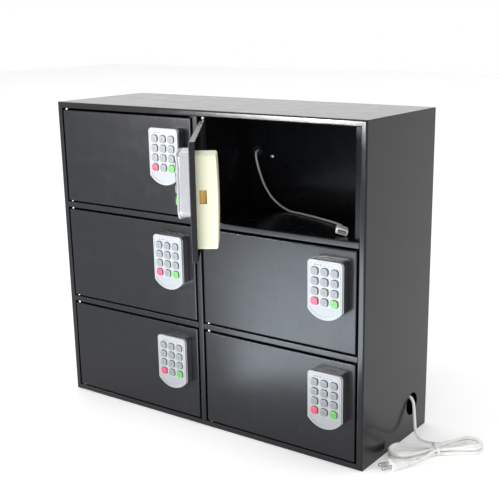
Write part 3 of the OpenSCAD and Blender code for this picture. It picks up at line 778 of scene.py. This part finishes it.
def screws():
    """Pan head screws with cross recesses: ten in the rear cover, one in each compartment."""
    one = Maker()
    profile = [(0, 8), (1.6, 8), (2, 7.4), (2, 0), (3.8, 0), (3.8, -0.7), (3.4, -1.5), (2.4, -2.05),
               (0, -2.2)]
    one.lathe(profile, Matrix.Identity(4), count=28)
    for half in ((2.1, 0.45), (0.45, 2.1)):
        one = Maker().join(carve(one, Maker().box((-half[0], -half[1], -3), (half[0], half[1], -1.1), 0)))
    mesh = one.mesh("screw")
    m = Maker()
    rng = random.Random(5)
    spots = [((x, FRONT + CASE_D, z), 90) for x, z in cover_points()]
    spots += [(back_spot(n, SCREW_X, SCREW_Z), -90) for n in range(1, DOORS + 1)]
    for spot, tilt in spots:
        twist = Matrix.Rotation(rng.uniform(0, 1.5), 4, "Z")
        m.join(mesh.copy(), 0, moved(*spot) @ turned(tilt, "X") @ twist)
    piece("panel_screw_set", m, [ZINC], "cabinet", ["panel_screws"])


def hinge_pins():
    """A headed pin with a washer at the top and the bottom of every door."""
    m = Maker()
    for n in range(1, DOORS + 1):
        x, z = bay(n)
        for base, up, gap in ((z - SHEET, 1, GAP_BOTTOM), (z + BAY_H + SHEET, -1, GAP_TOP)):
            profile = [(0, -1.2), (2.2, -1.2), (2.6, -0.8), (2.6, 0), (1.5, 0), (1.5, 1.2), (2.35, 1.2),
                       (2.6, 1.45), (2.6, gap + 0.9), (2.35, gap + 1.15), (1.5, gap + 1.15),
                       (1.5, gap + 4.8), (1.1, gap + 5.2), (0, gap + 5.2)]
            place = moved(x + GAP_HINGE + PIN_INSET, FRONT + PIN_INSET, base)
            m.lathe(profile, place @ Matrix.Diagonal((1, 1, up, 1)), count=24)
    piece("hinge_pin_set", m, [ZINC], "cabinet", ["hinge_pins"])


def charger():
    """The charger in the wiring space: ports, fins and the mains lead's ribbed sleeve."""
    x, y, z = CHARGER_X, CHARGER_Y, CHARGER_Z
    m = Maker().box((x, y, z), (x + CHARGER_L, y + CHARGER_D, z + CHARGER_H), 2.2, steps=4)
    cut = Maker()
    for k in range(PORTS):
        h = port_z(k)
        cut.box((x - 2, LEAD_Y - 6.55, h - 2.9), (x + 12, LEAD_Y + 6.55, h + 2.9), 0)
    for k in range(9):
        fin = x + 24 + k * 7
        cut.box((fin, y + CHARGER_D - 1, z + 12), (fin + 3, y + CHARGER_D + 3, z + CHARGER_H - 12), 0)
    body = Maker().join(carve(m, cut))
    for k in range(PORTS):
        h = port_z(k)
        if k != USED_PORT:
            body.box((x + 0.8, LEAD_Y - 5.6, h), (x + 11.8, LEAD_Y + 5.6, h + 1.9), 0.15, 1)
    relief = []
    for k in range(57):
        t = k / 56
        ridge = 0.45 if k % 6 < 3 and 4 < k < 50 else 0
        relief.append((5.5 - 1.9 * t - 0.45 + ridge, 28 * t))
    sleeve = moved(x + CHARGER_L, LEAD_Y, LEAD_START_Z) @ turned(90, "Y")
    body.lathe([(0, -1), (5.5, -1)] + relief + [(0, 28)], sleeve, 0, 28)
    piece("usb_charger_body", body, [BLACK, SLOT], "cabinet", ["usb_charger"])


def charger_bracket():
    """The folded plate that carries the charger."""
    front, back = FRONT + BAY_DEPTH + SHEET + 0.6, CHARGER_Y + CHARGER_D + 0.6
    low, high = CHARGER_Z - 0.6, CHARGER_Z + CHARGER_H
    m = Maker().prism(folded([(front, high), (front, low), (back, low), (back, CHARGER_Z + 12)], bend=1.0),
                      CHARGER_X, CHARGER_X + CHARGER_L, "x", 0.25)
    piece("charger_bracket_plate", m, [COAT_IN], "cabinet", ["charger_bracket"])


case_wrap()
centre_divider()
door_stops()
shelves()
inner_panel()
rear_cover()
screws()
hinge_pins()
charger()
charger_bracket()


# ---------- doors and locks ----------

def door_mesh():
    """A door pan: rounded folds, a flat face, and folded edges open at the back."""
    m = Maker()
    rows = [(3.2, SHEET, 0.3), (2.2, SHEET, 0.3), (1.5, 1.45, 0.35), (1.22, 2.1, 0.4), (1.2, 7.75, 0.4),
            (0.95, PAN_DEPTH, 0.6), (0.25, PAN_DEPTH, 0.9), (0, 7.75, 1.0), (0, 1.7, 1.0), (0.13, 1.05, 1.0),
            (0.5, 0.5, 1.0), (1.05, 0.13, 1.0), (1.7, 0, 0.9), (3.2, 0, 0.6)]
    rings = []
    for i, y, r in rows:
        outline = rounded(DOOR_W - 2 * i, DOOR_H - 2 * i, r, 4)
        rings.append([(p[0] + DOOR_W / 2, y, p[1] + DOOR_H / 2) for p in outline])
    return m.loft(rings)


def housing_mesh():
    """The lock's outer housing, from (inset, y) rows of its outline, and the spigot through the door."""
    m = Maker()
    rows = [(0.5, 0), (0, -0.5), (0, -12.2), (0.1, -12.9), (0.45, -13.5), (1.0, -13.9), (1.6, -14),
            (2.0, -14)]
    m.loft([standing(lock_outline(i), y) for i, y in rows])
    spigot = [(8, 0), (8, 5.4), (7.4, 6), (0, 6)]
    m.lathe(spigot, moved(0, 0, LOCK_H / 2) @ turned(-90, "X"), count=32)
    return m


def key_spots():
    """Each key's x, z and number, row by row from the top left."""
    return [(c * KEY_PITCH_X, LOCK_H - KEY_TOP - k * KEY_PITCH_Z, k * 3 + c + 1)
            for k in range(4) for c in (-1, 0, 1)]


def face_mesh():
    """The light front: a rounded edge, a groove inside it, key holes, a dished chin whose darker grey is
    painted shade, and six marks.
    """
    m = Maker()
    rows = [(0.35, -13.6), (0.1, -14.1), (0, -14.6), (0, -15.9), (0.12, -16.4), (0.4, -16.8), (0.85, -17),
            (1.3, -17)]
    m.loft([standing(lock_outline(i), y) for i, y in rows])
    cut = Maker()
    for x, z, _ in key_spots():
        hole = rounded(KEY_W + 0.6, KEY_H + 0.6, 4.2, 5)
        cut.prism([(x + p[0], z + p[1]) for p in hole], -20, -13.95, "y", 0)
    groove = [standing(lock_outline(i), y) for i, y in ((2.7, -18), (2.7, -16.6), (3.15, -16.6), (3.15, -18))]
    cut.loft(groove, closed=True)
    solid, cut = Maker().join(carve(m, cut)), Maker()
    low = LOCK_H - KEY_TOP - 3 * KEY_PITCH_Z - KEY_H / 2 - 2.2
    chin = [p for p in lock_outline(4.6) if p[1] < low] + [(LOCK_W / 2 - 4.6, low), (4.6 - LOCK_W / 2, low)]
    # The chin dish takes material 1, a darker copy of the face: painted shade in the recess.
    cut.prism(chin, -18, -16.5, "y", 0, mat=1)
    for x, r in ((-16, 1.15), (-11.3, 1.15), (-6.6, 1.15), (0.5, 0.75), (6.2, 0.75), (11.9, 0.75)):
        mark = [(x + r * math.cos(t), LOCK_H - 7 + r * math.sin(t)) for t in turn(12)]
        cut.prism(mark, -18, -16.6, "y", 0, mat=2)
    return carve(solid, cut)


def digit_mesh(text, size):
    """A flat raised digit, centred on its own origin."""
    data = bpy.data.curves.new("digit", "FONT")
    data.body, data.size, data.extrude = text, size, 0.05
    data.align_x, data.align_y, data.resolution_u = "CENTER", "CENTER", 3
    obj = bpy.data.objects.new("digit", data)
    bpy.context.scene.collection.objects.link(obj)
    bpy.context.view_layer.update()
    mesh = bpy.data.meshes.new_from_object(obj.evaluated_get(bpy.context.evaluated_depsgraph_get()))
    bpy.data.objects.remove(obj)
    return mesh


def keys_mesh():
    """Twelve domed caps on one mat, with raised digits, a bar on the red key, a tick on the green."""
    m = Maker()
    red, green, zero = 9, 11, 10
    mid = LOCK_H - KEY_TOP - 1.5 * KEY_PITCH_Z
    m.prism([(p[0], p[1] + mid) for p in rounded(47.8, 58.4, 3)], -13.9, -12.7, "y", 0.2)
    rows = [(0.1, -17.9, 3.9), (0, -18.1, 4), (0, -18.4, 4), (0.12, -18.8, 3.9), (0.45, -19.1, 3.7),
            (1.0, -19.3, 3.3), (2.0, -19.38, 2.6), (3.4, KEY_TOP_Y, 1.4)]
    for x, z, index in key_spots():
        mat = {red: 1, green: 2}.get(index, 0)
        skirt = rounded(KEY_W - 0.2, KEY_H - 0.2, 3.9, 5)
        # The skirt shows between face and cap; its darker colour is painted shade, not a different plastic.
        m.prism([(x + p[0], z + p[1]) for p in skirt], -18.0, -13.2, "y", 0, 4)
        outlines = [(y, rounded(KEY_W - 2 * i, KEY_H - 2 * i, r, 5)) for i, y, r in rows]
        m.loft([[(x + p[0], y, z + p[1]) for p in outline] for y, outline in outlines], mat)
        if index == green:
            tick = [(-2.6, 0.2), (-0.9, -1.7), (2.7, 2.0), (2.1, 2.6), (-0.9, -0.5), (-2.0, 0.8)]
            m.prism([(x + a, z + b) for a, b in tick], -19.46, -19.3, "y", 0, 3)
        elif index == red:
            m.prism([(x + p[0], z + p[1]) for p in rounded(4.6, 0.9, 0.3, 3)], -19.46, -19.3, "y", 0, 3)
        else:
            text = "0" if index == zero else str(index + 1)
            m.join(digit_mesh(text, 7.2), 3, moved(x, -19.42, z) @ turned(90, "X"))
    return m.mesh("keys")


def lock_case_mesh():
    """The ivory lock case inside a door: a crowned tub with round edges and a window for the bolt."""
    def shell(wall, top):
        part = Maker()
        x0, x1 = INNER_X + wall, INNER_X + INNER_W - wall
        y0 = SHEET - (2 if wall else 0)
        back = []
        for k in range(12, -1, -1):
            sag = CROWN * (2 * k / 12 - 1) ** 2
            back.append((INNER_D - wall - sag, INNER_Z + wall + (INNER_H - 2 * wall) * k / 12))
        outline = [(y0, INNER_Z + wall), (y0, INNER_Z + INNER_H - wall)] + back
        return part.prism(outline, x0, x1, "x", top, angle=40)

    solid = Maker().join(carve(shell(0, 2.4), shell(2, 0.8)))
    wall = INNER_X + INNER_W
    cut = Maker().box((wall - 6, BOLT_Y - 0.3, BOLT_Z - 8.8), (wall + 3, BOLT_Y + 8.8, BOLT_Z + 8.8), 0)
    return carve(solid, cut)


def bolt_mesh():
    """The latch, retracted: a bar with a slanted nose."""
    tip = INNER_X + INNER_W - 1
    outline = [(tip - BOLT_L, BOLT_Y), (tip - 0.4, BOLT_Y), (tip, BOLT_Y + 0.4), (tip - 2.2, BOLT_Y + BOLT_T),
               (tip - BOLT_L, BOLT_Y + BOLT_T)]
    return Maker().prism(outline, BOLT_Z - BOLT_H / 2, BOLT_Z + BOLT_H / 2, "z", 0.5).mesh("bolt")


def internals_mesh():
    """Four cells with end caps, the bolt's motor and the circuit board with its parts."""
    m = Maker()
    base = moved(INNER_X, 0, INNER_Z)
    for x in (9, 21):
        for y in (9, 21):
            place = base @ moved(x, y, 3)
            m.lathe([(0, 0), (4.8, 0), (5.1, 0.4), (5.15, 1)], place, 3, 24)
            m.lathe([(5.15, 1), (5.25, 1.3), (5.25, 42.2), (4.9, 42.8)], place, 2, 24)
            m.lathe([(4.9, 42.8), (2.7, 43), (2.6, 44.2), (2.3, 44.5), (0, 44.5)], place, 3, 24)
    motor = [(0, -4), (1, -4), (1, 0), (3, 0), (3, 1), (6, 1.2), (6, 26), (5.2, 27.2), (2.5, 28), (0, 28)]
    m.lathe(motor, base @ moved(22, 15, 91), 3, 28)
    m.box((INNER_X + 5, 26, INNER_Z + 58), (INNER_X + 39, 27.6, INNER_Z + 118), 0.2, 0)
    rng = random.Random(11)
    for _ in range(14):
        x, z = INNER_X + 8 + rng.random() * 24, INNER_Z + 62 + rng.random() * 48
        w, h, t = 2 + rng.random() * 5, 2 + rng.random() * 4, 0.8 + rng.random()
        m.box((x, 27.5, z), (x + w, 27.5 + t, z + h), 0.15, 1)
    return m.mesh("internals")


def locks_and_doors():
    """Every door with its lock. The six doors share one mesh of each kind."""
    front, caps = [FACE, FACE_DISH_SHADE, INK], [KEY, KEY_RED, KEY_GREEN, INK, KEY_SKIRT_SHADE]
    works = [BOARD, BLACK, CELL, ZINC]
    pan, shell = door_mesh().mesh("door"), housing_mesh().mesh("housing")
    # Piece, mesh, materials, body, slot, CAD node, and whether it is drawn from the lock's corner
    kinds = [("door_pan", pan, [COAT], "door", "charcoal_coat", "door_panel", False),
             ("lock_shell", shell, [CHROME], "door", "satin_chrome", "lock_housing", True),
             ("lock_front", face_mesh(), front, "door", "keypad_white", "keypad_face", True),
             ("lock_keys", keys_mesh(), caps, "keys", "key_grey", "keypad_keys", True),
             ("lock_tub", lock_case_mesh(), [IVORY], "door", "ivory_plastic", "lock_case", False),
             ("lock_latch", bolt_mesh(), [BRASS], "bolt", "brass", "lock_bolt", False),
             ("lock_works", internals_mesh(), works, "door", "electronics", "lock_internals", False)]
    for n in range(1, DOORS + 1):
        door = door_place(n)
        lock = door @ moved(LOCK_X, 0, LOCK_Z)
        for name, mesh, mats, body, slot, node, on_lock in kinds:
            place = lock if on_lock else door
            piece(f"{name}_{n}", mesh, mats, f"{body}_{n}", [f"{node}_{n}"], place)


locks_and_doors()


# ---------- studio ----------

def light(name, where, aim, size, power, color=(1, 1, 1), spin=0, spread=180):
    """A rectangular lamp in metres and watts, its spin and the spread of its light in degrees."""
    data = bpy.data.lights.new(name, "AREA")
    data.shape, data.size, data.size_y, data.energy, data.color = "RECTANGLE", size[0], size[1], power, color
    data.spread = math.radians(spread)
    obj = bpy.data.objects.new(name, data)
    bpy.context.scene.collection.objects.link(obj)
    obj.location = where
    look = (Vector(aim) - Vector(where)).to_track_quat("-Z", "Y")
    obj.rotation_euler = (Matrix.Rotation(math.radians(spin), 3, "Z") @ look.to_matrix()).to_euler()


def studio():
    """A pale floor, a white room, and the lamps that the steel mirrors."""
    floor = Maker().box((-9000, -9000, -40), (9000, 9000, 0), 0)
    m = Nodes("pale_floor")
    shade = m.blend(m.spread(m.noise(3, 3), 0, 1), (0.93, 0.93, 0.935, 1), (0.95, 0.95, 0.95, 1))
    m.set(Base_Color=shade, Roughness=0.7, Emission_Color=(1, 1, 1, 1), Emission_Strength=0.16)
    obj = shape_object("floor", floor.mesh("floor"), [m.material])
    world = bpy.data.worlds.new("studio")
    world.use_nodes = True
    world.node_tree.nodes["Background"].inputs["Color"].default_value = (1, 1, 1, 1)
    world.node_tree.nodes["Background"].inputs["Strength"].default_value = 1.0
    bpy.context.scene.world = world
    light("floor_glow", (-0.15, -0.93, 0.004), (-0.15, -0.93, 1), (0.66, 1.1), 19.5, (0.8, 0.91, 1.0), -38)
    light("front_strip", (-0.85, -1.83, 0.56), (0.1, -0.1, 0.5), (0.75, 0.14), 2.5, spread=50)
    light("front_edge", (-0.72, -1.8, 0.56), (0.1, -0.1, 0.5), (0.3, 0.12), 1.5, spread=50)
    light("back_panel", (-1.9, 2.6, 1.45), (0, 0, 0.4), (2.6, 1.2), 1.9)
    light("overhead", (-0.3, -0.9, 2.2), (-0.05, -0.3, 0), (1.2, 0.5), 5)
    bpy.context.scene.view_settings.view_transform = "Standard"


studio()
